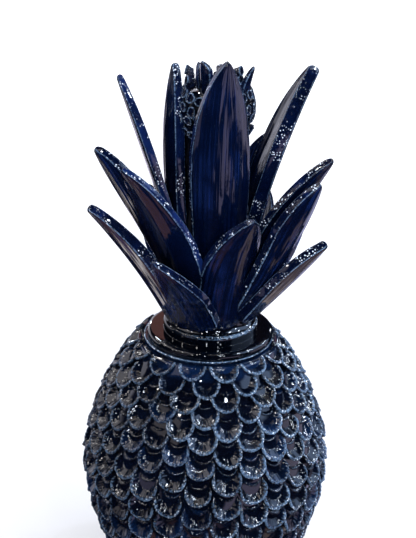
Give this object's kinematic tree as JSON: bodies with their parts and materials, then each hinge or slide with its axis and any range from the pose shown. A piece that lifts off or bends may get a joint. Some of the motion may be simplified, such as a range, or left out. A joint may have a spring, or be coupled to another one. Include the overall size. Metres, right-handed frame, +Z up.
{
  "type": "lidded pineapple jar",
  "caption": "Hollow blue-glazed clay pineapple with cupped scales and a lift-off lid whose trunk carries slab leaves and a flower head",
  "frame": {"origin": "middle of the flat underside", "axes": "+Z up along the pineapple's axis, -Y towards the side that faces the viewer, +X to the viewer's right"},
  "size_m": [0.25, 0.2496, 0.5705],
  "materials": {
    "body_glaze": "high gloss",
    "crown_glaze": "high gloss"
  },
  "bodies": {
    "root": {"jar_body": "body_glaze", "crown_lid": "crown_glaze"}
  },
  "joints": []
}
